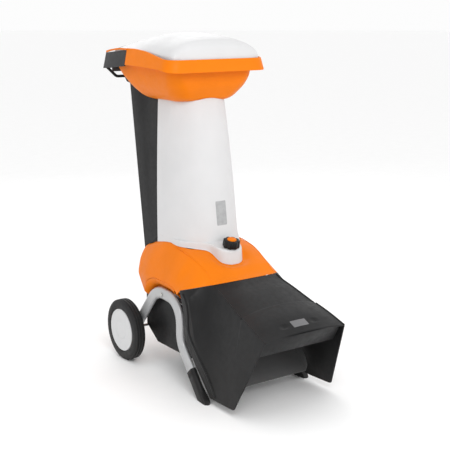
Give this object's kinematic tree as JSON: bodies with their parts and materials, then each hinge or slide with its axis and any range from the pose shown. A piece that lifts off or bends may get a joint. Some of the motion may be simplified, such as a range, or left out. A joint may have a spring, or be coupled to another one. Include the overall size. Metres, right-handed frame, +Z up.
{
  "type": "wood chipper",
  "caption": "Upright electric garden wood chipper: funnel tower with domed hopper, cutting disc on a motor, ejection hood, two wheels and two tube legs.",
  "frame": {"origin": "middle of the overall footprint, on the ground", "axes": "+Z up, -Y towards the ejection chute, +X to the machine's left seen from its front"},
  "size_m": [0.516, 1.056, 1.3187],
  "materials": {
    "orange_plastic": "satin moulded",
    "light_grey_plastic": "satin moulded",
    "black_plastic": "fine-grained moulded",
    "dark_grey_plastic": "fine-grained moulded",
    "silver_tube": "silver powder coat",
    "steel": "machined",
    "blade_steel": "ground",
    "zinc_steel": "zinc plated",
    "cast_aluminium": "cast",
    "copper": "enamelled wire",
    "tyre_rubber": "moulded",
    "flap_rubber": "sheet",
    "red_plastic": "moulded",
    "green_plastic": "moulded",
    "white_cap": "satin moulded"
  },
  "bodies": {
    "base": {"base_housing": "black_plastic", "motor_plate": "steel", "motor_stator": "steel", "motor_windings": "copper", "motor_top_bell": "cast_aluminium", "motor_bottom_bell": "cast_aluminium", "motor_bearings": "steel", "cutting_chamber": "steel", "chamber_lid": "black_plastic", "counter_blade": "blade_steel", "base_cover": "orange_plastic", "ejection_hood": "black_plastic", "chute_baffle": "black_plastic", "discharge_ramp": "dark_grey_plastic", "lock_insert": "zinc_steel", "hinge_bracket": "zinc_steel", "hinge_pin": "steel", "leg_left": "silver_tube", "leg_right": "silver_tube", "foot_sleeve_left": "black_plastic", "foot_sleeve_right": "black_plastic", "leg_bolts": "zinc_steel", "axle_mounts": "black_plastic", "axle": "steel", "axle_clips": "zinc_steel"},
    "rotor": {"rotor_core": "steel", "rotor_shaft": "steel", "cutting_disc": "steel", "disc_blades": "blade_steel", "wing_knife": "blade_steel", "cutter_bolts": "zinc_steel", "cooling_fan": "black_plastic"},
    "left_wheel": {"wheel_left": "black_plastic", "tyre_left": "tyre_rubber", "hub_cap_left": "white_cap"},
    "right_wheel": {"wheel_right": "black_plastic", "tyre_right": "tyre_rubber", "hub_cap_right": "white_cap"},
    "tower": {"tower_front_shell": "light_grey_plastic", "tower_back_shell": "black_plastic", "feed_tube": "black_plastic", "shell_screws": "zinc_steel", "hopper_bowl": "orange_plastic", "hopper_rim": "orange_plastic", "hopper_dome": "light_grey_plastic", "mouth_frame": "dark_grey_plastic", "flap_rod": "zinc_steel", "handle_bar": "black_plastic", "switch_box": "black_plastic", "inlet_socket": "black_plastic", "inlet_pins": "zinc_steel"},
    "lock_collar": {"lock_washer": "zinc_steel"},
    "knob": {"lock_knob": "black_plastic", "knob_cap": "orange_plastic", "lock_screw": "zinc_steel"},
    "left_flap": {"flap_left": "flap_rubber"},
    "middle_flap": {"flap_middle": "flap_rubber"},
    "right_flap": {"flap_right": "flap_rubber"},
    "start": {"start_button": "green_plastic"},
    "stop": {"stop_button": "red_plastic"}
  },
  "joints": [
    {"name": "rotor_spin", "type": "hinge", "parent": "base", "child": "rotor", "pos_m": [0, 0.127, 0.33], "axis": [0, 0, 1], "continuous": true},
    {"name": "left_wheel_roll", "type": "hinge", "parent": "base", "child": "left_wheel", "pos_m": [-0.233, 0.342, 0.125], "axis": [1, 0, 0], "continuous": true},
    {"name": "right_wheel_roll", "type": "hinge", "parent": "base", "child": "right_wheel", "pos_m": [0.233, 0.342, 0.125], "axis": [1, 0, 0], "continuous": true},
    {"name": "tower_tilt", "type": "hinge", "parent": "base", "child": "tower", "pos_m": [0, 0.376, 0.466], "axis": [-1, 0, 0], "range_deg": [0, 75]},
    {"name": "lock_slide", "type": "slide", "parent": "tower", "child": "lock_collar", "axis": [0, -0.2079, 0.9781], "range_m": [0, 0.012]},
    {"name": "knob_turn", "type": "hinge", "parent": "lock_collar", "child": "knob", "pos_m": [0, -0.071, 0.521], "axis": [0, -0.2079, 0.9781], "range_deg": [0, 1080]},
    {"name": "left_flap_swing", "type": "hinge", "parent": "tower", "child": "left_flap", "pos_m": [0, 0.418, 1.243], "axis": [-1, 0, 0], "range_deg": [0, 70]},
    {"name": "middle_flap_swing", "type": "hinge", "parent": "tower", "child": "middle_flap", "pos_m": [0, 0.418, 1.243], "axis": [-1, 0, 0], "range_deg": [0, 70]},
    {"name": "right_flap_swing", "type": "hinge", "parent": "tower", "child": "right_flap", "pos_m": [0, 0.418, 1.243], "axis": [-1, 0, 0], "range_deg": [0, 70]},
    {"name": "start_press", "type": "slide", "parent": "tower", "child": "start", "axis": [0, -0.9722, 0.2341], "range_m": [0, 0.004], "stiffness_N_per_m": 400},
    {"name": "stop_press", "type": "slide", "parent": "tower", "child": "stop", "axis": [0, -0.9722, 0.2341], "range_m": [0, 0.004], "stiffness_N_per_m": 400}
  ],
  "couplings": [
    {"joint": "knob_turn", "follows": "lock_slide", "rad_per_m": 1570.8}
  ]
}
